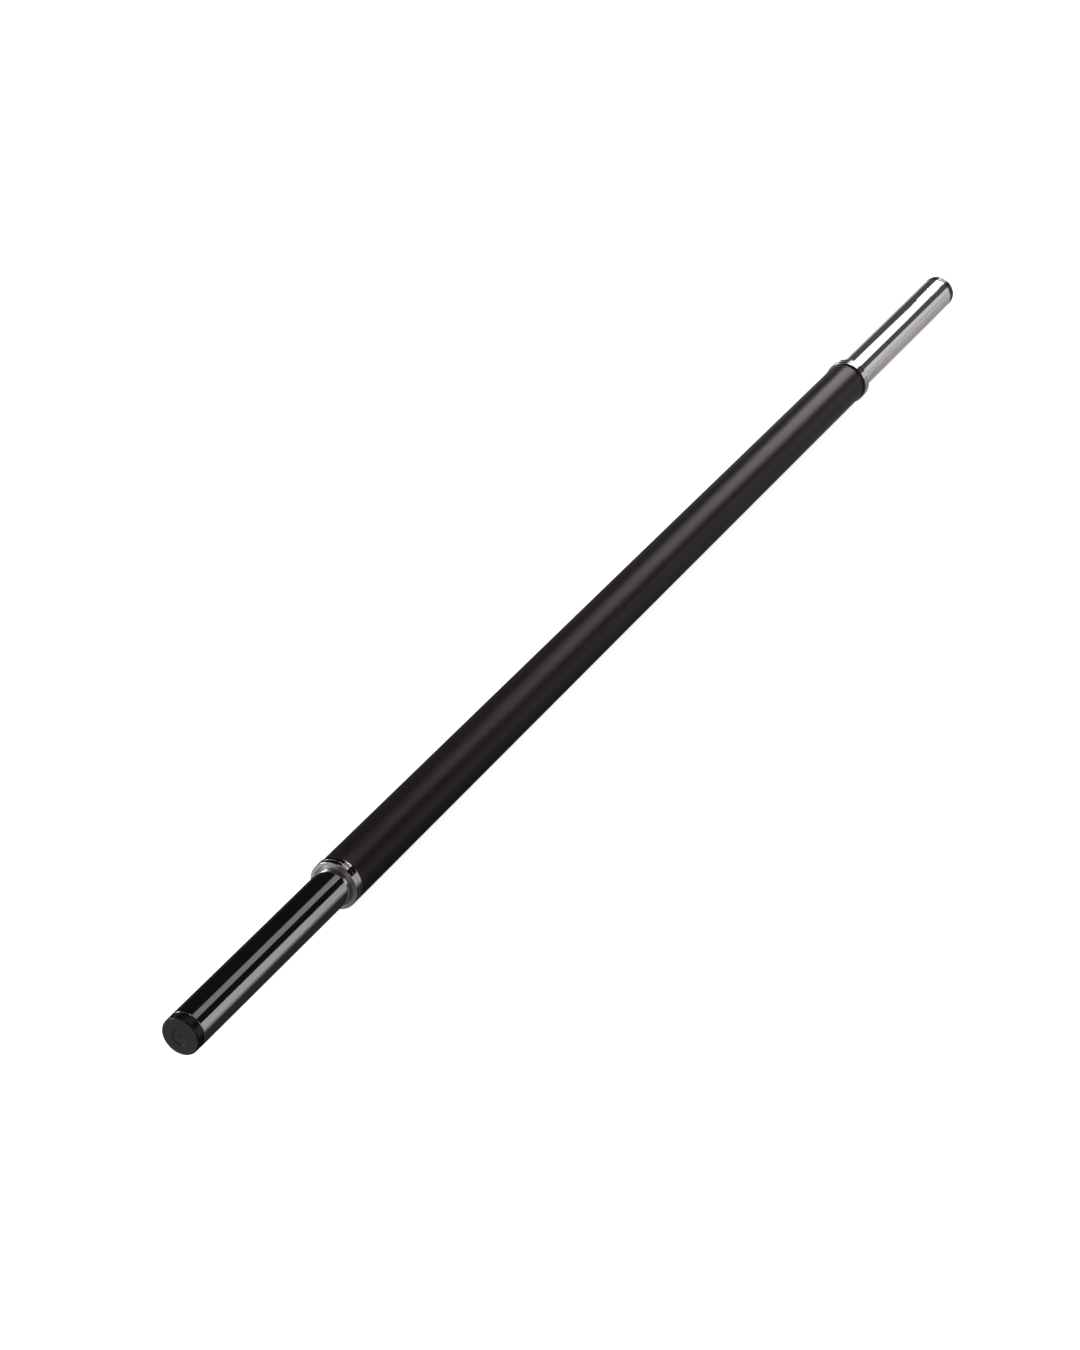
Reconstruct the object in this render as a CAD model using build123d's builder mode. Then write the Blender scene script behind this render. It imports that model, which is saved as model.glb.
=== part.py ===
import os

from build123d import *

# A straight juggling stick, also called a devil stick: a chromed steel tube with a black rubber grip
# over its middle, a chromed collar at each end of the grip and a black plastic plug in each end.
# The tube lies along X, the origin is at its middle, and every size is in millimetres.

total_length = 720.0
tube_diameter = 16.0
tube_wall = 1.0
tube_edge_break = 0.2

# The bare end is measured from the plug's face to the collar's outer face.
bare_end_length = 112.0

collar_diameter = 20.8
collar_length = 4.6
collar_bore_clearance = 0.02
collar_edge_radius = 0.55
collar_bead_groove_width = 0.5
collar_bead_groove_depth = 0.3

# The grip is moulded with a slight draft, so it is thicker at its left end.
grip_left_diameter = 20.5
grip_right_diameter = 19.4
grip_edge_radius = 0.35
tape_thickness = 0.2
tape_set_back = 3.4

# A split wire ring snaps into a seat in the tube. The collar's counterbore closes over it, so the
# collar can't slide off the end, and the grip behind keeps the collar pressed against the ring.
snap_wire_diameter = 1.0
snap_seat_depth = 0.45
snap_seat_clearance = 0.05
snap_ring_arc = 335.0
collar_counterbore_depth = 1.2
collar_counterbore_clearance = 0.1

plug_head_length = 4.4
plug_head_diameter = 15.9
plug_head_edge_radius = 0.65
plug_recess_diameter = 6.9
plug_recess_depth = 0.25
plug_gate_diameter = 1.2
plug_gate_depth = 0.2
plug_stem_length = 18.0
plug_stem_diameter = 12.6
plug_stem_bore = 9.4
plug_rib_count = 4
plug_rib_pitch = 4.0
plug_rib_width = 1.8
plug_floor_thickness = 2.4

# Radii and stations that follow from the driving sizes
tube_radius = tube_diameter / 2
bore_radius = tube_radius - tube_wall
plug_face_x = total_length / 2
tube_end_x = plug_face_x - plug_head_length
collar_face_x = plug_face_x - bare_end_length
collar_back_x = collar_face_x - collar_length
collar_middle_x = (collar_face_x + collar_back_x) / 2
tape_radius = tube_radius + tape_thickness
snap_wire_radius = snap_wire_diameter / 2
snap_seat_radius = snap_wire_radius + snap_seat_clearance
snap_centre_radius = tube_radius - snap_seat_depth + snap_seat_radius
snap_centre_x = collar_face_x - snap_seat_radius

sides = {"left": -1, "right": 1}


def profile_plane(side):
    # The half plane of a turned piece: its x runs out to that end of the stick, its y is the radius.
    return Plane(origin=(0, 0, 0), x_dir=(side, 0, 0), z_dir=(0, -side, 0))


def box_corners(x_low, x_high, radius_low, radius_high):
    return [(x_low, radius_low), (x_high, radius_low), (x_high, radius_high), (x_low, radius_high)]


def make_collar(side):
    bore = tube_radius + collar_bore_clearance
    rim = collar_diameter / 2
    counterbore = snap_centre_radius + snap_wire_radius + collar_counterbore_clearance
    counterbore_floor_x = collar_face_x - collar_counterbore_depth
    with BuildPart() as collar:
        with BuildSketch(profile_plane(side)) as section:
            with BuildLine():
                Polyline(box_corners(collar_back_x, collar_face_x, bore, rim), close=True)
            make_face()
            fillet(section.vertices().group_by(Axis.Z)[-1], collar_edge_radius)
            # The groove that parts the rim into two beads
            with Locations((collar_middle_x, rim)):
                Rectangle(collar_bead_groove_width, 2 * collar_bead_groove_depth, mode=Mode.SUBTRACT)
            # The counterbore in the face, which closes over the snap ring
            with BuildLine():
                Polyline(
                    box_corners(counterbore_floor_x, collar_face_x, tube_radius, counterbore),
                    close=True,
                )
            make_face(mode=Mode.SUBTRACT)
        revolve(axis=Axis.X)
    return collar


def make_snap_ring(side):
    # The arc starts half its own angle from the top, so the split faces straight down.
    start_plane = Plane.XZ.rotated((-snap_ring_arc / 2, 0, 0))
    with BuildPart() as snap_ring:
        with BuildSketch(start_plane):
            with Locations((side * snap_centre_x, snap_centre_radius)):
                Circle(snap_wire_radius)
        revolve(axis=Axis.X, revolution_arc=snap_ring_arc)
    return snap_ring


def plug_rib_outline(index):
    # A barb that leans towards the mouth of the tube, so it slides in and bites on the way out.
    foot_x = tube_end_x - plug_stem_length + index * plug_rib_pitch
    stem_radius = plug_stem_diameter / 2
    return [(foot_x, stem_radius), (foot_x + plug_rib_width, bore_radius),
            (foot_x + plug_rib_width + tube_edge_break, bore_radius),
            (foot_x + plug_rib_width + tube_edge_break, stem_radius)]


def make_end_plug(side):
    head_radius = plug_head_diameter / 2
    stem_radius = plug_stem_diameter / 2
    stem_tip_x = tube_end_x - plug_stem_length
    recess_x = plug_face_x - plug_recess_depth
    with BuildPart() as end_plug:
        with BuildSketch(profile_plane(side)) as section:
            with BuildLine():
                Polyline(box_corners(tube_end_x, plug_face_x, 0, head_radius), close=True)
            make_face()
            fillet(section.vertices().sort_by(SortBy.DISTANCE)[-1], plug_head_edge_radius)
            with BuildLine():
                Polyline(box_corners(stem_tip_x, tube_end_x, 0, stem_radius), close=True)
            make_face()
            for index in range(plug_rib_count):
                with BuildLine():
                    Polyline(plug_rib_outline(index), close=True)
                make_face()
            # The hollow of the stem, open at its inner end
            with BuildLine():
                Polyline(
                    box_corners(stem_tip_x, plug_face_x - plug_floor_thickness, 0, plug_stem_bore / 2),
                    close=True,
                )
            make_face(mode=Mode.SUBTRACT)
            # The shallow dish in the face, and the moulding gate's dimple in its middle
            with BuildLine():
                Polyline(box_corners(recess_x, plug_face_x, 0, plug_recess_diameter / 2), close=True)
            make_face(mode=Mode.SUBTRACT)
            with BuildLine():
                Polyline(
                    box_corners(recess_x - plug_gate_depth, recess_x, 0, plug_gate_diameter / 2),
                    close=True,
                )
            make_face(mode=Mode.SUBTRACT)
        revolve(axis=Axis.X)
    return end_plug


os.makedirs("parts", exist_ok=True)

# The chromed tube runs the whole length, with a seat turned in it for each snap ring.
with BuildPart() as core_tube:
    with BuildSketch(Plane.YZ.offset(-tube_end_x)):
        Circle(tube_radius)
        Circle(bore_radius, mode=Mode.SUBTRACT)
    extrude(amount=2 * tube_end_x)
    chamfer(core_tube.edges().filter_by(GeomType.CIRCLE), tube_edge_break)
    with BuildSketch(Plane.XZ):
        with Locations((-snap_centre_x, snap_centre_radius), (snap_centre_x, snap_centre_radius)):
            Circle(snap_seat_radius)
    revolve(axis=Axis.X, mode=Mode.SUBTRACT)
core_tube.part.label = "core_tube"
export_step(core_tube.part, "parts/core_tube.step")

# The bonding tape that holds the grip on the smooth tube
with BuildPart() as grip_tape:
    with BuildSketch(Plane.YZ.offset(tape_set_back - collar_back_x)):
        Circle(tape_radius)
        Circle(tube_radius, mode=Mode.SUBTRACT)
    extrude(amount=2 * (collar_back_x - tape_set_back))
grip_tape.part.label = "grip_tape"
export_step(grip_tape.part, "parts/grip_tape.step")

# The rubber grip, between the two collars
with BuildPart() as grip_sleeve:
    with BuildSketch(Plane.XZ) as grip_section:
        with BuildLine():
            Polyline(
                (-collar_back_x, tape_radius),
                (collar_back_x, tape_radius),
                (collar_back_x, grip_right_diameter / 2),
                (-collar_back_x, grip_left_diameter / 2),
                close=True,
            )
        make_face()
        fillet(grip_section.vertices().sort_by(Axis.Z)[-2:], grip_edge_radius)
    revolve(axis=Axis.X)
grip_sleeve.part.label = "grip_sleeve"
export_step(grip_sleeve.part, "parts/grip_sleeve.step")

for side_name, side in sides.items():
    end_collar = make_collar(side)
    end_collar.part.label = f"{side_name}_collar"
    export_step(end_collar.part, f"parts/{end_collar.part.label}.step")

    snap_ring = make_snap_ring(side)
    snap_ring.part.label = f"{side_name}_snap_ring"
    export_step(snap_ring.part, f"parts/{snap_ring.part.label}.step")

    end_plug = make_end_plug(side)
    end_plug.part.label = f"{side_name}_end_plug"
    export_step(end_plug.part, f"parts/{end_plug.part.label}.step")
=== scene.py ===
import math

import bmesh
import bpy
from mathutils import Matrix, Vector


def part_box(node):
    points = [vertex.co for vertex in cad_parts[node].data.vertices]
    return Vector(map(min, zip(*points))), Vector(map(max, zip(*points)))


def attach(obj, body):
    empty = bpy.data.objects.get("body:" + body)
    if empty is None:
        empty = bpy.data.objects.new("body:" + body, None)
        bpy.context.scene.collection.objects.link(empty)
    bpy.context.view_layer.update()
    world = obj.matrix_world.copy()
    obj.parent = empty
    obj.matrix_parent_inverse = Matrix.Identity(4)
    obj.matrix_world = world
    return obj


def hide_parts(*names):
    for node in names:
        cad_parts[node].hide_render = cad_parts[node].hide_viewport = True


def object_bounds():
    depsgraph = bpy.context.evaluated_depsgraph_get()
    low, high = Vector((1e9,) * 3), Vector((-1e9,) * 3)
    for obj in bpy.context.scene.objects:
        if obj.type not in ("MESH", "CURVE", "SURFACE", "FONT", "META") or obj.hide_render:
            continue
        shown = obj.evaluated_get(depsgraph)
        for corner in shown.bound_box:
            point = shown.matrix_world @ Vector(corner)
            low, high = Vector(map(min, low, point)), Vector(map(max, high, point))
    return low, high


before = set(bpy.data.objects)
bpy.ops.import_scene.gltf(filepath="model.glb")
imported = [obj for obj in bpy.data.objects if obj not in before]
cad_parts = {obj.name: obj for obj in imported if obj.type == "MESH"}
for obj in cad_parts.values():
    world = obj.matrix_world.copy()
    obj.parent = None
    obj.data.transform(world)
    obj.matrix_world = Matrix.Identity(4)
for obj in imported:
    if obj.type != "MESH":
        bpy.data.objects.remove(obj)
cadLow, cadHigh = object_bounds()

mm = 0.001
sides = {"left": -1, "right": 1}

# Places along the stick and radii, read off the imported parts. The right half is measured and the left
# mirrors it.
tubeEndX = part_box("core_tube")[1].x
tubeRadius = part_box("core_tube")[1].z
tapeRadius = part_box("grip_tape")[1].z
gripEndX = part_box("grip_sleeve")[1].x
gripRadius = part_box("grip_sleeve")[1].z
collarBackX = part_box("right_collar")[0].x
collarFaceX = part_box("right_collar")[1].x
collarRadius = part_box("right_collar")[1].z
ringX = (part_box("right_snap_ring")[0].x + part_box("right_snap_ring")[1].x) / 2
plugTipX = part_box("right_end_plug")[0].x
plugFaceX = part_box("right_end_plug")[1].x
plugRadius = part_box("right_end_plug")[1].z

meshLook = {
    "mergeDistance": 1e-6,
    "sliverLength": 1e-7,
    "sharpAngle": 40,
    "cornerSteps": 6,
    "cornerGuard": 0.35,
}


def addNode(tree, kind, inputs=None, **settings):
    node = tree.nodes.new(kind)
    for name, value in settings.items():
        setattr(node, name, value)
    for name, value in (inputs or {}).items():
        socket = node.inputs[name]
        if isinstance(value, bpy.types.NodeSocket):
            tree.links.new(value, socket)
        else:
            socket.default_value = value
    return node


def calculate(tree, operation, first, second=0.0):
    return addNode(tree, "ShaderNodeMath", {0: first, 1: second}, operation=operation).outputs[0]


latheInputs = {
    "Outline": "Geometry",
    "Steps Around": "Int",
    "Unevenness": "Float",
    "Unevenness Scale": "Float",
    "Uneven Beyond": "Float",
    "Seed": "Float",
    "Lean": "Float",
    "Lean Angle": "Float",
    "Lean Reach": "Float",
    "Finish": "Material",
}


def makeLatheTree():
    # Turns an outline, whose points are (along, radius, 0), round the X axis. Beyond a given radius the
    # surface can be uneven, and lean to one side by an amount that grows towards one end.
    tree = bpy.data.node_groups.new("turnedShape", "GeometryNodeTree")
    for name, kind in latheInputs.items():
        tree.interface.new_socket(name, in_out="INPUT", socket_type="NodeSocket" + kind)
    tree.interface.new_socket("Shape", in_out="OUTPUT", socket_type="NodeSocketGeometry")
    given = tree.nodes.new("NodeGroupInput").outputs
    columns = calculate(tree, "ADD", given["Steps Around"], 1.0)
    count = addNode(tree, "GeometryNodeAttributeDomainSize", {"Geometry": given["Outline"]})
    sheet = addNode(tree, "GeometryNodeMeshGrid", {"Vertices X": count.outputs["Point Count"],
                                                   "Vertices Y": columns})
    index = addNode(tree, "GeometryNodeInputIndex").outputs[0]
    row = calculate(tree, "FLOOR", calculate(tree, "DIVIDE", index, columns))
    column = calculate(tree, "SUBTRACT", index, calculate(tree, "MULTIPLY", row, columns))
    angle = calculate(tree, "DIVIDE", calculate(tree, "MULTIPLY", column, math.tau), given["Steps Around"])
    place = addNode(tree, "GeometryNodeInputPosition").outputs[0]
    sample = addNode(tree, "GeometryNodeSampleIndex",
                     {"Geometry": given["Outline"], "Index": row}, data_type="FLOAT_VECTOR")
    tree.links.new(place, sample.inputs["Value"])
    outline = addNode(tree, "ShaderNodeSeparateXYZ", {0: sample.outputs["Value"]}).outputs
    across = calculate(tree, "COSINE", angle)
    up = calculate(tree, "SINE", angle)
    smooth = addNode(tree, "ShaderNodeCombineXYZ",
                     {0: outline[0], 1: calculate(tree, "MULTIPLY", outline[1], across),
                      2: calculate(tree, "MULTIPLY", outline[1], up)}).outputs[0]
    noise = addNode(tree, "ShaderNodeTexNoise", {"Vector": smooth, "Scale": given["Unevenness Scale"],
                                                 "W": given["Seed"], "Detail": 1.0}, noise_dimensions="4D")
    sway = calculate(tree, "SUBTRACT", noise.outputs["Fac"], 0.5)
    sway = calculate(tree, "MULTIPLY", sway, given["Unevenness"])
    toLeanEnd = addNode(tree, "ShaderNodeMapRange",
                        {0: outline[0], 1: 0.0, 2: given["Lean Reach"]}).outputs[0]
    leanSide = calculate(tree, "COSINE", calculate(tree, "SUBTRACT", angle, given["Lean Angle"]))
    lean = calculate(tree, "MULTIPLY", given["Lean"], toLeanEnd)
    lean = calculate(tree, "MULTIPLY", lean, leanSide)
    outside = calculate(tree, "GREATER_THAN", outline[1], given["Uneven Beyond"])
    change = calculate(tree, "MULTIPLY", calculate(tree, "ADD", sway, lean), outside)
    radius = calculate(tree, "ADD", outline[1], change)
    turned = addNode(tree, "ShaderNodeCombineXYZ",
                     {0: outline[0], 1: calculate(tree, "MULTIPLY", radius, across),
                      2: calculate(tree, "MULTIPLY", radius, up)}).outputs[0]
    shape = addNode(tree, "GeometryNodeSetPosition",
                    {"Geometry": sheet.outputs["Mesh"], "Position": turned})
    shape = addNode(tree, "GeometryNodeMergeByDistance",
                    {"Geometry": shape.outputs[0], "Distance": meshLook["mergeDistance"]})
    shape = addNode(tree, "GeometryNodeSetShadeSmooth",
                    {"Geometry": shape.outputs[0], "Shade Smooth": True})
    shape = addNode(tree, "GeometryNodeRealizeInstances", {"Geometry": shape.outputs[0]})
    shape = addNode(tree, "GeometryNodeSetMaterial",
                    {"Geometry": shape.outputs[0], "Material": given["Finish"]})
    tree.links.new(shape.outputs[0], tree.nodes.new("NodeGroupOutput").inputs["Shape"])
    return tree


latheTree = makeLatheTree()


def setModifierInputs(modifier, values):
    identifiers = {item.name: item.identifier for item in modifier.node_group.interface.items_tree
                   if item.in_out == "INPUT"}
    for name, value in values.items():
        modifier[identifiers[name]] = value


def tidyMesh(mesh, sharpAngle):
    # Points the faces outwards and keeps real corners crisp.
    work = bmesh.new()
    work.from_mesh(mesh)
    bmesh.ops.dissolve_degenerate(work, edges=work.edges, dist=meshLook["sliverLength"])
    bmesh.ops.recalc_face_normals(work, faces=work.faces)
    for edge in work.edges:
        edge.smooth = len(edge.link_faces) == 2 and edge.calc_face_angle() < sharpAngle
    work.to_mesh(mesh)
    work.free()


# A piece's look may also make it uneven, or lean it to one side. Otherwise it runs true.
trueShape = {"unevenness": 0.0, "unevennessScale": 1.0, "unevenBeyond": 0.0, "seed": 0.0,
             "lean": 0.0, "leanAngle": 0.0, "leanReach": 1.0}


def turnShape(name, outline, material, look):
    rough = bpy.data.meshes.new(name + "Outline")
    rough.from_pydata([(x, radius, 0.0) for x, radius in outline],
                      [(i, i + 1) for i in range(len(outline) - 1)], [])
    maker = bpy.data.objects.new(name + "Maker", rough)
    bpy.context.scene.collection.objects.link(maker)
    modifier = maker.modifiers.new("turnedShape", "NODES")
    modifier.node_group = latheTree
    shape = {**trueShape, **look}
    setModifierInputs(modifier, {"Steps Around": shape["stepsAround"], "Unevenness": shape["unevenness"],
                                 "Unevenness Scale": shape["unevennessScale"],
                                 "Uneven Beyond": shape["unevenBeyond"], "Seed": shape["seed"],
                                 "Lean": shape["lean"], "Lean Angle": shape["leanAngle"],
                                 "Lean Reach": shape["leanReach"], "Finish": material})
    graph = bpy.context.evaluated_depsgraph_get()
    mesh = bpy.data.meshes.new_from_object(maker.evaluated_get(graph))
    bpy.data.objects.remove(maker)
    bpy.data.meshes.remove(rough)
    mesh.name = name
    tidyMesh(mesh, math.radians(meshLook["sharpAngle"]))
    piece = bpy.data.objects.new(name, mesh)
    bpy.context.scene.collection.objects.link(piece)
    print(name, len(mesh.polygons), "faces")
    return piece


def finishPiece(piece, slot, *nodes):
    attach(piece, "root")
    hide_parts(*nodes)


def roundCorner(before, corner, after, rounding):
    # The arc that rounds one corner of an outline, with a point on each side that keeps the flats flat.
    steps = meshLook["cornerSteps"]
    here = Vector(corner)
    toBefore = (Vector(before) - here).normalized()
    toAfter = (Vector(after) - here).normalized()
    halfAngle = toBefore.angle(toAfter) / 2
    setBack = rounding / math.tan(halfAngle)
    middle = here + (toBefore + toAfter).normalized() * rounding / math.sin(halfAngle)
    start = here + toBefore * setBack
    turn = math.pi - 2 * halfAngle
    if toBefore.cross(toAfter) > 0:
        turn = -turn
    arc = [middle + Matrix.Rotation(turn * step / steps, 2) @ (start - middle)
           for step in range(steps + 1)]
    guard = rounding * meshLook["cornerGuard"]
    return [start + toBefore * guard, *arc, here + toAfter * (setBack + guard)]


def makeOutline(corners, closed=True):
    # Each corner is (along, radius) or (along, radius, rounding). A closed outline ends where it starts.
    points = []
    for index, corner in enumerate(corners):
        if len(corner) == 3:
            before = corners[index - 1][:2]
            after = corners[(index + 1) % len(corners)][:2]
            points += roundCorner(before, corner[:2], after, corner[2])
        else:
            points.append(Vector(corner))
    if closed:
        points.append(points[0])
    return [tuple(point) for point in points]


noiseSpread = (0.3, 0.7)  # most of a noise's values lie between these


def startMaterial(name):
    material = bpy.data.materials.new(name)
    material.use_nodes = True
    tree = material.node_tree
    shader = tree.nodes["Principled BSDF"]
    place = addNode(tree, "ShaderNodeTexCoord").outputs["Object"]
    return material, tree, shader, place


def stretch(tree, place, scale):
    return addNode(tree, "ShaderNodeVectorMath", {0: place, 1: scale}, operation="MULTIPLY").outputs[0]


def addNoise(tree, place, scale, detail=3.0, roughness=0.55, distortion=0.0):
    return addNode(tree, "ShaderNodeTexNoise",
                   {"Vector": place, "Scale": scale, "Detail": detail, "Roughness": roughness,
                    "Distortion": distortion}).outputs["Fac"]


def remap(tree, value, fromLow, fromHigh, toLow, toHigh):
    return addNode(tree, "ShaderNodeMapRange", {0: value, 1: fromLow, 2: fromHigh, 3: toLow, 4: toHigh},
                   interpolation_type="SMOOTHSTEP").outputs[0]


def mixColour(tree, share, first, second):
    node = addNode(tree, "ShaderNodeMix", data_type="RGBA")
    for socket, value in ((node.inputs[0], share), (node.inputs[6], first), (node.inputs[7], second)):
        if isinstance(value, bpy.types.NodeSocket):
            tree.links.new(value, socket)
        elif socket.type == "RGBA":
            socket.default_value = (*value, 1.0)
        else:
            socket.default_value = value
    return node.outputs[2]


def addBump(tree, height, distance, under=None, strength=1.0):
    node = addNode(tree, "ShaderNodeBump", {"Height": height, "Distance": distance, "Strength": strength})
    if under:
        tree.links.new(under, node.inputs["Normal"])
    return node.outputs[0]


def addScaled(tree, value, change, amount):
    return calculate(tree, "ADD", value, calculate(tree, "MULTIPLY", change, amount))


def alongStick(tree, place):
    return addNode(tree, "ShaderNodeSeparateXYZ", {0: place}).outputs[0]


def radiusFromAxis(tree, place):
    flat = stretch(tree, place, (0.0, 1.0, 1.0))
    return addNode(tree, "ShaderNodeVectorMath", {0: flat}, operation="LENGTH").outputs["Value"]


def ringsRoundAxis(tree, radius, scale, detail):
    place = addNode(tree, "ShaderNodeCombineXYZ", {0: radius}).outputs[0]
    return addNoise(tree, place, scale, detail=detail)


def findFlatEnds(tree, edge):
    # 1 on the faces that are square to the stick and 0 on its sides.
    normal = addNode(tree, "ShaderNodeTexCoord").outputs["Normal"]
    facing = calculate(tree, "ABSOLUTE", alongStick(tree, normal))
    return remap(tree, facing, *edge, 0.0, 1.0)


chromeLook = {
    "clean": (0.82, 0.775, 0.81),
    "hazed": (0.72, 0.68, 0.715),
    "roughness": (0.035, 0.12),
    "smudgeRun": (0.45, 1.0, 1.0),
    "smudgeScale": 55.0,
    "hazeEdge": (0.48, 0.72),
    "dustScale": 2600.0,
    "dustEdge": (0.70, 0.78),
    "dustRoughness": 0.10,
    "waveRun": (0.25, 1.0, 1.0),
    "waveScale": 130.0,
    "waveDepth": 12e-6,
    "scratches": ({"run": (0.05, 1.0, 1.0), "scale": 480.0, "patchScale": 90.0},
                  {"run": (1.0, 0.12, 0.12), "scale": 620.0, "patchScale": 60.0}),
    "scratchWidth": 0.005,
    "scratchPatchEdge": (0.54, 0.64),
    "scratchRoughness": 0.08,
    "scratchDepth": 0.15e-6,
    "drawLineRun": (0.01, 1.0, 1.0),
    "drawLineScale": 5200.0,
    "drawLineDepth": 0.6e-6,
    "turningEdge": (0.80, 0.97),
    "turningScale": 5200.0,
    "turningRoughness": 0.16,
    "turningDepth": 9e-6,
}


def addScratches(tree, place, scratch):
    # Hairlines drawn out along one way, in patches.
    look = chromeLook
    path = addNoise(tree, stretch(tree, place, scratch["run"]), scratch["scale"], detail=1.0, roughness=0.4)
    path = calculate(tree, "ABSOLUTE", calculate(tree, "SUBTRACT", path, 0.5))
    line = remap(tree, path, 0.0, look["scratchWidth"], 1.0, 0.0)
    patch = remap(tree, addNoise(tree, place, scratch["patchScale"]), *look["scratchPatchEdge"], 0.0, 1.0)
    return calculate(tree, "MULTIPLY", line, patch)


def chromeBase(name):
    # Bright plating: hazy where it is handled, with patches of fine scratches along and around the stick.
    material, tree, shader, place = startMaterial(name)
    look = chromeLook
    smudge = addNoise(tree, stretch(tree, place, look["smudgeRun"]), look["smudgeScale"],
                      detail=4.0, roughness=0.6, distortion=0.6)
    haze = remap(tree, smudge, *look["hazeEdge"], 0.0, 1.0)
    speck = remap(tree, addNoise(tree, place, look["dustScale"], detail=2.0), *look["dustEdge"], 0.0, 1.0)
    along, around = look["scratches"]
    scratch = calculate(tree, "ADD", addScratches(tree, place, along), addScratches(tree, place, around))
    shader.inputs["Metallic"].default_value = 1.0
    roughness = remap(tree, haze, 0.0, 1.0, *look["roughness"])
    roughness = addScaled(tree, roughness, speck, look["dustRoughness"])
    roughness = addScaled(tree, roughness, scratch, look["scratchRoughness"])
    tree.links.new(mixColour(tree, haze, look["clean"], look["hazed"]), shader.inputs["Base Color"])
    wave = addNoise(tree, stretch(tree, place, look["waveRun"]), look["waveScale"], detail=1.0)
    normal = addBump(tree, wave, look["waveDepth"])
    normal = addBump(tree, scratch, look["scratchDepth"], normal)
    return material, tree, shader, place, roughness, normal


def makeTubeChrome():
    # The tube keeps the fine lines of its drawing.
    material, tree, shader, place, roughness, normal = chromeBase("chromePlate")
    look = chromeLook
    lines = addNoise(tree, stretch(tree, place, look["drawLineRun"]), look["drawLineScale"], detail=2.0)
    normal = addBump(tree, lines, look["drawLineDepth"], normal)
    tree.links.new(roughness, shader.inputs["Roughness"])
    tree.links.new(normal, shader.inputs["Normal"])
    return material


def makeTurnedChrome():
    # The collars keep the fine rings of the lathe on their flat faces.
    material, tree, shader, place, roughness, normal = chromeBase("turnedChrome")
    look = chromeLook
    rings = ringsRoundAxis(tree, radiusFromAxis(tree, place), look["turningScale"], 3.0)
    flat = findFlatEnds(tree, look["turningEdge"])
    rings = calculate(tree, "MULTIPLY", rings, flat)
    normal = addBump(tree, rings, look["turningDepth"], normal)
    roughness = addScaled(tree, roughness, flat, look["turningRoughness"])
    tree.links.new(roughness, shader.inputs["Roughness"])
    tree.links.new(normal, shader.inputs["Normal"])
    return material


rubberLook = {
    "black": (0.0122, 0.0080, 0.0086),
    "worn": (0.0215, 0.0160, 0.0168),
    "dusty": (0.09, 0.085, 0.085),
    "patchRun": (0.3, 1.0, 1.0),
    "patchScale": 45.0,
    "patchEdge": (0.45, 0.75),
    "patchWear": 0.5,
    "endReach": 6 * mm,
    "endWear": 0.4,
    "dustScale": 2100.0,
    "dustEdge": (0.70, 0.80),
    "dustShare": 0.35,
    "roughness": (0.30, 0.37),
    "grainScale": 3200.0,
    "grainRoughness": (-0.03, 0.05),
    "grainDepth": 12e-6,
    "ringRun": (1.0, 0.03, 0.03),
    "ringScale": 260.0,
    "ringDepth": 5e-6,
    "specular": 0.25,
    "specularTint": (1.0, 0.80, 0.81),
    "sheen": 0.04,
    "sheenRoughness": 0.4,
}


def makeRubber():
    # Matt black rubber, finely grained, greyer and smoother in patches and greyer next to the collars.
    material, tree, shader, place = startMaterial("gripRubber")
    look = rubberLook
    patch = addNoise(tree, stretch(tree, place, look["patchRun"]), look["patchScale"],
                     detail=4.0, roughness=0.6, distortion=0.4)
    endGap = calculate(tree, "SUBTRACT", gripEndX, calculate(tree, "ABSOLUTE", alongStick(tree, place)))
    rubbed = remap(tree, endGap, 0.0, look["endReach"], 1.0, 0.0)
    worn = remap(tree, patch, *look["patchEdge"], 0.0, look["patchWear"])
    worn = addScaled(tree, worn, rubbed, look["endWear"])
    dust = remap(tree, addNoise(tree, place, look["dustScale"], detail=2.0), *look["dustEdge"], 0.0, 1.0)
    dust = calculate(tree, "MULTIPLY", dust, look["dustShare"])
    colour = mixColour(tree, worn, look["black"], look["worn"])
    tree.links.new(mixColour(tree, dust, colour, look["dusty"]), shader.inputs["Base Color"])
    smoother, rougher = look["roughness"]
    roughness = remap(tree, patch, *noiseSpread, rougher, smoother)
    grain = addNoise(tree, place, look["grainScale"], detail=3.0, roughness=0.65)
    roughness = calculate(tree, "ADD", roughness, remap(tree, grain, *noiseSpread, *look["grainRoughness"]))
    tree.links.new(roughness, shader.inputs["Roughness"])
    shader.inputs["Specular IOR Level"].default_value = look["specular"]
    shader.inputs["Specular Tint"].default_value = (*look["specularTint"], 1.0)
    shader.inputs["Sheen Weight"].default_value = look["sheen"]
    shader.inputs["Sheen Roughness"].default_value = look["sheenRoughness"]
    rings = addNoise(tree, stretch(tree, place, look["ringRun"]), look["ringScale"], detail=2.0)
    normal = addBump(tree, rings, look["ringDepth"])
    normal = addBump(tree, grain, look["grainDepth"], normal)
    tree.links.new(normal, shader.inputs["Normal"])
    return material


plugLook = {
    "black": (0.0085, 0.008, 0.0085),
    # The flat faces' grey: partly their matt moulded finish, partly painted light standing in for the lamp
    # that falls on them.
    "mattFaceAndPaintedLight": (0.037, 0.0338, 0.0385),
    "scuffed": (0.072, 0.068, 0.074),
    "flatEdge": (0.85, 0.98),
    "patchScale": 260.0,
    "patchEdge": (0.45, 0.7),
    "rimStart": 1.6 * mm,
    "rimFull": 0.4 * mm,
    "scuffInside": 0.25,
    "roughness": (0.22, 0.52),
    "grainScale": 2400.0,
    "grainRoughness": (-0.04, 0.06),
    "grainDepth": 10e-6,
    "grainStrength": 0.8,
    "flowScale": 900.0,
    "flowDepth": 4e-6,
    "specular": 0.45,
}


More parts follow.
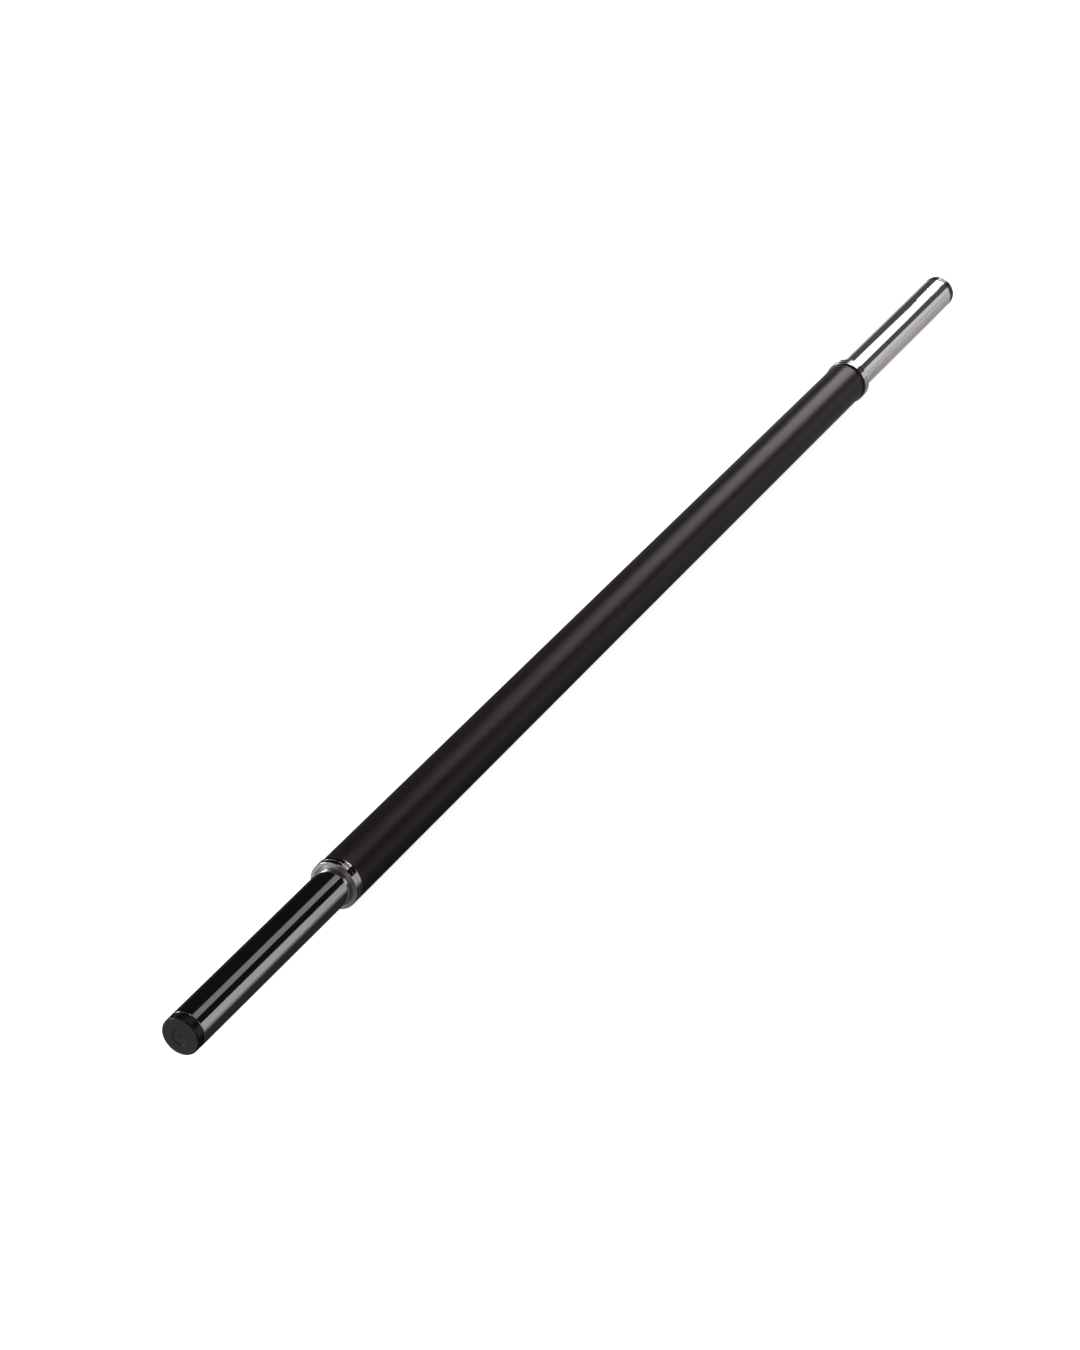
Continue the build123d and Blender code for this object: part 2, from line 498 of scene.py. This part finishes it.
def makePlugPlastic():
    # Moulded polyethylene. The flat faces are a pale matt grey that also holds painted light, and are
    # scuffed most at their rims. The sides are glossier.
    material, tree, shader, place = startMaterial("plugPlastic")
    look = plugLook
    radius = radiusFromAxis(tree, place)
    grain = addNoise(tree, place, look["grainScale"], detail=3.0, roughness=0.6)
    patch = addNoise(tree, place, look["patchScale"], detail=4.0, roughness=0.6, distortion=0.5)
    patch = remap(tree, patch, *look["patchEdge"], 0.0, 1.0)
    rim = remap(tree, radius, plugRadius - look["rimStart"], plugRadius - look["rimFull"], 0.0, 1.0)
    scuff = calculate(tree, "MULTIPLY", patch, calculate(tree, "ADD", look["scuffInside"], rim))
    flat = findFlatEnds(tree, look["flatEdge"])
    # The flat faces are painted lighter than the sides: partly their matt finish, partly painted light for
    # the lamp on them.
    colour = mixColour(tree, flat, look["black"], look["mattFaceAndPaintedLight"])
    colour = mixColour(tree, calculate(tree, "MULTIPLY", scuff, flat), colour, look["scuffed"])
    tree.links.new(colour, shader.inputs["Base Color"])
    shader.inputs["Specular IOR Level"].default_value = look["specular"]
    roughness = remap(tree, flat, 0.0, 1.0, *look["roughness"])
    roughness = calculate(tree, "ADD", roughness, remap(tree, grain, *noiseSpread, *look["grainRoughness"]))
    tree.links.new(roughness, shader.inputs["Roughness"])
    flow = ringsRoundAxis(tree, radius, look["flowScale"], 2.0)
    normal = addBump(tree, flow, look["flowDepth"])
    normal = addBump(tree, grain, look["grainDepth"], normal, look["grainStrength"])
    tree.links.new(normal, shader.inputs["Normal"])
    return material


tapeLook = {
    "brown": (0.50, 0.43, 0.30),
    "buff": (0.66, 0.60, 0.46),
    "thread": (0.74, 0.70, 0.58),
    "threadRun": (1.0, 0.1, 0.1),
    "threadScale": 3000.0,
    "threadEdge": (0.4, 0.65),
    "threadShare": 0.6,
    "threadDepth": 30e-6,
    "blotchScale": 140.0,
    "roughness": (0.62, 0.85),
}


def makeTape():
    # Woven cloth tape, shut in between the sleeve and the tube.
    material, tree, shader, place = startMaterial("bondingTape")
    look = tapeLook
    thread = addNoise(tree, stretch(tree, place, look["threadRun"]), look["threadScale"], detail=3.0)
    blotch = addNoise(tree, place, look["blotchScale"], detail=3.0)
    colour = mixColour(tree, blotch, look["brown"], look["buff"])
    share = remap(tree, thread, *look["threadEdge"], 0.0, look["threadShare"])
    tree.links.new(mixColour(tree, share, colour, look["thread"]), shader.inputs["Base Color"])
    tree.links.new(remap(tree, thread, *noiseSpread, *look["roughness"]), shader.inputs["Roughness"])
    tree.links.new(addBump(tree, thread, look["threadDepth"]), shader.inputs["Normal"])
    return material


steelLook = {
    "dull": (0.44, 0.43, 0.45),
    "bright": (0.62, 0.60, 0.61),
    "streakScale": 900.0,
    "streakEdge": (0.35, 0.7),
    "streakDepth": 6e-6,
    "roughness": (0.28, 0.45),
}


def makeSpringSteel():
    # Nickel-plated spring wire, darker in streaks.
    material, tree, shader, place = startMaterial("springSteel")
    look = steelLook
    streak = addNoise(tree, place, look["streakScale"], detail=4.0, roughness=0.6)
    shine = remap(tree, streak, *look["streakEdge"], 0.0, 1.0)
    colour = mixColour(tree, shine, look["dull"], look["bright"])
    tree.links.new(colour, shader.inputs["Base Color"])
    shader.inputs["Metallic"].default_value = 1.0
    tree.links.new(remap(tree, streak, *noiseSpread, *look["roughness"]), shader.inputs["Roughness"])
    tree.links.new(addBump(tree, streak, look["streakDepth"]), shader.inputs["Normal"])
    return material


tubeChrome = makeTubeChrome()
turnedChrome = makeTurnedChrome()
gripRubber = makeRubber()
plugPlastic = makePlugPlastic()
print("finishes made")


tubeLook = {
    "stepsAround": 160,
    "boreRadius": 7.0 * mm,
    "edgeRounding": 0.22 * mm,
    "seatRadius": 0.55 * mm,
    "seatCentre": 8.1 * mm,
    "seatSteps": 10,
    "stations": 24,
}


def ringSeat(side):
    # The half-round seat of a snap ring, from left to right.
    look = tubeLook
    half = math.acos((look["seatCentre"] - tubeRadius) / look["seatRadius"])
    points = []
    for step in range(look["seatSteps"] + 1):
        angle = half * (2 * step / look["seatSteps"] - 1)
        points.append((side * ringX + look["seatRadius"] * math.sin(angle),
                       look["seatCentre"] - look["seatRadius"] * math.cos(angle)))
    return points


def makeTube():
    look = tubeLook
    rounding = look["edgeRounding"]
    ends = makeOutline([(-tubeEndX, look["boreRadius"], rounding), (-tubeEndX, tubeRadius, rounding),
                        (tubeEndX, tubeRadius, rounding), (tubeEndX, look["boreRadius"], rounding)])
    half = len(ends) // 2
    stretchLow = -ringX + 2 * look["seatRadius"]
    stations = [(stretchLow * (1 - 2 * step / look["stations"]), tubeRadius)
                for step in range(look["stations"] + 1)]
    outline = ends[:half] + ringSeat(-1) + stations + ringSeat(1) + ends[half:]
    tube = turnShape("chromeTube", outline, tubeChrome, look)
    finishPiece(tube, "chrome_plate", "core_tube")


makeTube()


gripLook = {
    "stepsAround": 128,
    "rightRadius": 9.7 * mm,
    "leftRounding": 0.5 * mm,
    "rightRounding": 0.8 * mm,
    "stations": 260,
    "unevenness": 0.05 * mm,
    "unevennessScale": 38.0,
    "unevenBeyond": 8.6 * mm,
    "seed": 4.0,
    "lean": 0.15 * mm,
    "leanAngle": math.radians(218),
    "leanReach": -gripEndX,
}


def makeGrip():
    look = gripLook
    left = gripRadius - look["unevenness"] / 4  # drawn in a little, to leave room for the unevenness
    right = look["rightRadius"]
    ends = makeOutline([(-gripEndX, tapeRadius), (-gripEndX, left, look["leftRounding"]),
                        (gripEndX, right, look["rightRounding"]), (gripEndX, tapeRadius)])
    half = len(ends) // 2
    reach = gripEndX - 2 * look["rightRounding"]
    stations = []
    for step in range(look["stations"] + 1):
        share = step / look["stations"]
        x = reach * (2 * share - 1)
        stations.append((x, left + (right - left) * (x + gripEndX) / (2 * gripEndX)))
    grip = turnShape("rubberGrip", ends[:half] + stations + ends[half:], gripRubber, look)
    finishPiece(grip, "grip_rubber", "grip_sleeve")


makeGrip()


collarLook = {
    "stepsAround": 160,
    "boreRadius": 8.02 * mm,
    "grooveWidth": 0.24 * mm,
    "grooveDepth": 0.22 * mm,
    "grooveRounding": 0.04 * mm,
    "edgeRounding": 0.24 * mm,
    "crown": 0.022 * mm,
    "crownSteps": 10,
    "faceCone": 0.16 * mm,
    "counterboreDepth": 1.2 * mm,
    "counterboreRadius": 8.7 * mm,
    "mouthRounding": 0.12 * mm,
}


def crownedBead(low, high):
    # The top of one bead of the rim, a shallow arch that leaves room for its rounded edges.
    look = collarLook
    points = []
    for step in range(1, look["crownSteps"]):
        share = step / look["crownSteps"]
        points.append((low + (high - low) * share, collarRadius - look["crown"] * (2 * share - 1) ** 2))
    return points


def makeCollar(sideName, side):
    look = collarLook
    middle = (collarBackX + collarFaceX) / 2
    grooveLow, grooveHigh = middle - look["grooveWidth"] / 2, middle + look["grooveWidth"] / 2
    shoulder = collarRadius - look["crown"]
    grooveFloor = shoulder - look["grooveDepth"]
    edge, crease = look["edgeRounding"], look["grooveRounding"]
    corners = [(collarBackX, look["boreRadius"]), (collarBackX, shoulder, edge),
               *crownedBead(collarBackX + edge, grooveLow - crease),
               (grooveLow, shoulder, crease), (middle, grooveFloor), (grooveHigh, shoulder, crease),
               *crownedBead(grooveHigh + crease, collarFaceX - edge),
               (collarFaceX - look["faceCone"], shoulder, edge),
               (collarFaceX, look["counterboreRadius"], look["mouthRounding"]),
               (collarFaceX - look["counterboreDepth"], look["counterboreRadius"]),
               (collarFaceX - look["counterboreDepth"], look["boreRadius"])]
    outline = [(side * x, radius) for x, radius in makeOutline(corners)]
    collar = turnShape(sideName + "Collar", outline, turnedChrome, look)
    finishPiece(collar, "chrome_plate", sideName + "_collar")


for sideName, side in sides.items():
    makeCollar(sideName, side)


plugShape = {
    "stepsAround": 128,
    "headRounding": 0.65 * mm,
    "dishRadius": 3.45 * mm,
    "dishDepth": 0.22 * mm,
    "dishRounding": 0.20 * mm,
    "gateRadius": 0.6 * mm,
    "gateDepth": 0.2 * mm,
    "stemRadius": 6.3 * mm,
    "stemBore": 4.7 * mm,
    "floorThickness": 2.4 * mm,
    "barbRadius": 7.0 * mm,
    "barbs": 4,
    "barbPitch": 4.0 * mm,
    "barbWidth": 1.8 * mm,
    "barbLand": 0.2 * mm,
    "floorRounding": 0.5 * mm,
}


def makePlug(sideName, side):
    look = plugShape
    dishX = plugFaceX - look["dishDepth"]
    gateX = dishX - look["gateDepth"]
    floorX = plugFaceX - look["floorThickness"]
    corners = [(gateX, 0.0), (gateX, look["gateRadius"]),
               (dishX, look["gateRadius"], look["dishRounding"] / 2),
               (dishX, look["dishRadius"], look["dishRounding"]),
               (plugFaceX, look["dishRadius"] + look["dishDepth"] / 2, look["dishRounding"]),
               (plugFaceX, plugRadius, look["headRounding"]), (tubeEndX, plugRadius),
               (tubeEndX, look["stemRadius"])]
    for index in reversed(range(look["barbs"])):
        foot = plugTipX + index * look["barbPitch"]
        tip = foot + look["barbWidth"]
        back = tip + look["barbLand"]
        corners += [(back, look["stemRadius"]), (back, look["barbRadius"]),
                    (tip, look["barbRadius"]), (foot, look["stemRadius"])]
    corners += [(plugTipX, look["stemBore"]), (floorX, look["stemBore"], look["floorRounding"]),
                (floorX, 0.0)]
    outline = [(side * x, radius) for x, radius in makeOutline(corners, closed=False)]
    plug = turnShape(sideName + "EndPlug", outline, plugPlastic, look)
    finishPiece(plug, "plug_plastic", sideName + "_end_plug")


for sideName, side in sides.items():
    makePlug(sideName, side)

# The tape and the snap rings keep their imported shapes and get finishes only.
carriedFinishes = {"grip_tape": makeTape(), "left_snap_ring": makeSpringSteel()}
carriedFinishes["right_snap_ring"] = carriedFinishes["left_snap_ring"]
for name, material in carriedFinishes.items():
    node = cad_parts[name]
    node.data.materials.clear()
    node.data.materials.append(material)
print("pieces made")


floorLook = {"size": 40.0, "pale": (0.90, 0.90, 0.91), "shade": (0.86, 0.86, 0.87), "cloudScale": 3.0,
             "roughness": 0.85, "glow": 0.88}


def makeFloor():
    # A sheet that glows like a light table. It isn't mirrored, and it lights no other piece.
    look = floorLook
    half = look["size"] / 2
    mesh = bpy.data.meshes.new("floor")
    corners = [(-half, -half), (half, -half), (half, half), (-half, half)]
    mesh.from_pydata([(x, y, cadLow.z) for x, y in corners], [], [(0, 1, 2, 3)])
    material, tree, shader, place = startMaterial("palePaper")
    cloud = addNoise(tree, place, look["cloudScale"], detail=3.0)
    tree.links.new(mixColour(tree, cloud, look["pale"], look["shade"]), shader.inputs["Base Color"])
    shader.inputs["Roughness"].default_value = look["roughness"]
    shader.inputs["Emission Color"].default_value = (1.0, 1.0, 1.0, 1.0)
    shader.inputs["Emission Strength"].default_value = look["glow"]
    mesh.materials.append(material)
    floor = bpy.data.objects.new("floor", mesh)
    bpy.context.scene.collection.objects.link(floor)
    floor.visible_glossy = False
    floor.visible_diffuse = False


makeFloor()

# Each softbox: its middle, its width and height, the way it faces and how bright it is. A fade gives the
# share of that glow left at its low edge, and where up its height it is full again. It is white unless it
# has a colour, and glossy things mirror it unless mirrored is False.
softboxes = {
    "lowStripNear": {"middle": (0.85, -1.2, -0.075), "size": (1.5, 1.27), "facing": (0, 1, 0), "glow": 0.375,
                     "fade": (0.11, 0.52)},
    "lowStripFar": {"middle": (2.2, -1.2, 0.33), "size": (1.2, 0.66), "facing": (0, 1, 0), "glow": 0.56},
    "lowStripEnd": {"middle": (3.8, -1.2, 0.33), "size": (2.0, 0.66), "facing": (0, 1, 0), "glow": 1.2,
                    "colour": (1.0, 0.86, 0.87)},
    "backStrip": {"middle": (-0.95, 1.4, 0.56), "size": (0.5, 0.62), "facing": (0, -1, 0), "glow": 7.0},
    "backRight": {"middle": (0.55, 1.4, 0.55), "size": (0.75, 0.55), "facing": (0, -1, 0), "glow": 0.6},
    "behindCamera": {"middle": (-2.6, -0.5, 0.9), "size": (2.4, 1.4), "facing": (1, 0.1, -0.3), "glow": 1.35,
                     "mirrored": False},
    "topStrip": {"middle": (0.0, 0.1, 1.6), "size": (1.5, 0.35), "facing": (0, 0, -1), "glow": 0.9},
    "rightEnd": {"middle": (1.35, 0.06, 0.42), "size": (0.50, 0.26), "facing": (-1, 0, -0.33),
                 "glow": 16.0, "colour": (1.0, 0.89, 0.90)},
    "overhead": {"middle": (0.0, 0.0, 3.2), "size": (4.0, 4.0), "facing": (0, 0, -1), "glow": 0.42,
                 "mirrored": False},
}
# The ceiling is a row of panels along the stick, each with its own glow: low x, high x, low y, high y, glow.
ceilingPanels = [(0.50, 1.15, -0.72, -0.02, 0.20), (1.15, 1.45, -0.70, 0.05, 0.70),
                 (1.45, 1.75, -0.62, 0.50, 0.35), (1.75, 2.00, -0.62, 0.75, 2.20),
                 (2.00, 2.40, -0.63, 0.75, 1.35)]
ceilingHeight = 1.2
for index, (lowX, highX, lowY, highY, glow) in enumerate(ceilingPanels):
    softboxes["ceiling%d" % index] = {
        "middle": ((lowX + highX) / 2, (lowY + highY) / 2, ceilingHeight),
        "size": (highX - lowX, highY - lowY), "facing": (0, 0, -1), "glow": glow}


def addSoftbox(name, look):
    lamp = bpy.data.lights.new(name, "AREA")
    lamp.shape = "RECTANGLE"
    lamp.size, lamp.size_y = look["size"]
    lamp.energy = look["glow"] * math.pi * lamp.size * lamp.size_y
    lamp.color = look.get("colour", (1.0, 1.0, 1.0))
    if "fade" in look:
        lamp.use_nodes = True
        tree = lamp.node_tree
        share = addNode(tree, "ShaderNodeSeparateXYZ",
                        {0: addNode(tree, "ShaderNodeNewGeometry").outputs["Parametric"]}).outputs[1]
        low, full = look["fade"]
        tree.links.new(remap(tree, share, 0.0, full, low, 1.0), tree.nodes["Emission"].inputs["Strength"])
    box = bpy.data.objects.new(name, lamp)
    box.location = look["middle"]
    box.rotation_euler = Vector(look["facing"]).to_track_quat("-Z", "Y").to_euler()
    box.visible_camera = False
    box.visible_glossy = look.get("mirrored", True)
    bpy.context.scene.collection.objects.link(box)


for name, look in softboxes.items():
    addSoftbox(name, look)

# How bright the surroundings are each way. An edge is where a change starts and ends, in one part of the
# direction looked in.
roomLook = {
    "seen": (1.0, 1.0, 1.0),
    "leftEdge": (-0.45, 0.60),
    "leftDim": 0.12,
    "leftBright": 0.58,
    "leftBrightEdge": (0.28, 0.55),
    "leftSky": 0.30,
    "leftSkyEdge": (-0.04, 0.06),
    "leftBand": 0.85,
    "bandLowEdge": (0.12, 0.17),
    "bandHighEdge": (0.46, 0.56),
    "bandGap": 0.12,
    "bandGapEdge": (-0.84, -0.72),
    "nearDark": 0.008,
    "farDark": 0.088,
    "farEdge": (0.795, 0.835),
    "nearLow": 0.03,
    "farLow": (0.62, 0.42),
    "farLowEdge": (-0.10, -0.50),
    "horizonEdge": (0.0, -0.03),
}


def blend(tree, share, first, second):
    rest = calculate(tree, "SUBTRACT", 1.0, share)
    return addScaled(tree, calculate(tree, "MULTIPLY", first, rest), second, share)


def makeRoom():
    # A dim studio. The far right is a little lighter than the middle and pale low down. The left is grey,
    # with a bright band above the horizon that fades round the stick's own line.
    look = roomLook
    world = bpy.data.worlds.new("studio")
    world.use_nodes = True
    bpy.context.scene.world = world
    tree = world.node_tree
    tree.nodes.clear()
    direction = addNode(tree, "ShaderNodeTexCoord").outputs["Generated"]
    alongWay, acrossWay, upWay = addNode(tree, "ShaderNodeSeparateXYZ", {0: direction}).outputs
    left = remap(tree, acrossWay, *look["leftBrightEdge"], look["leftDim"], look["leftBright"])
    sky = remap(tree, upWay, *look["leftSkyEdge"], 1.0, look["leftSky"])
    left = calculate(tree, "MULTIPLY", left, sky)
    band = calculate(tree, "MULTIPLY", remap(tree, upWay, *look["bandLowEdge"], 0.0, look["leftBand"]),
                     remap(tree, upWay, *look["bandHighEdge"], 1.0, 0.0))
    gap = remap(tree, alongWay, *look["bandGapEdge"], look["bandGap"], 1.0)
    left = addScaled(tree, left, band, gap)
    far = remap(tree, alongWay, *look["farEdge"], 0.0, 1.0)
    high = addScaled(tree, look["nearDark"], far, look["farDark"])
    farLow = remap(tree, upWay, *look["farLowEdge"], *look["farLow"])
    low = addScaled(tree, look["nearLow"], far, farLow)
    right = blend(tree, remap(tree, upWay, *look["horizonEdge"], 0.0, 1.0), high, low)
    glow = blend(tree, remap(tree, alongWay, *look["leftEdge"], 1.0, 0.0), right, left)
    dim = addNode(tree, "ShaderNodeBackground", {"Strength": glow})
    pale = addNode(tree, "ShaderNodeBackground", {"Color": (*look["seen"], 1.0)})
    cameraRay = addNode(tree, "ShaderNodeLightPath").outputs["Is Camera Ray"]
    both = addNode(tree, "ShaderNodeMixShader", {0: cameraRay})
    tree.links.new(dim.outputs[0], both.inputs[1])
    tree.links.new(pale.outputs[0], both.inputs[2])
    tree.links.new(both.outputs[0], addNode(tree, "ShaderNodeOutputWorld").inputs["Surface"])


makeRoom()

cameraLook = {"place": (-1.3581, -0.6643, 0.8539), "downTilt": 30.465, "heading": -62.630,
              "lens": 106.99, "sensorWidth": 36.0}
camera = bpy.data.objects.new("camera", bpy.data.cameras.new("camera"))
camera.data.sensor_width = cameraLook["sensorWidth"]
camera.data.lens = cameraLook["lens"]
camera.location = cameraLook["place"]
camera.rotation_euler = (math.radians(90 - cameraLook["downTilt"]), 0.0,
                         math.radians(cameraLook["heading"]))
bpy.context.scene.collection.objects.link(camera)
bpy.context.scene.camera = camera
bpy.context.scene.view_settings.view_transform = "Standard"
print("studio made")
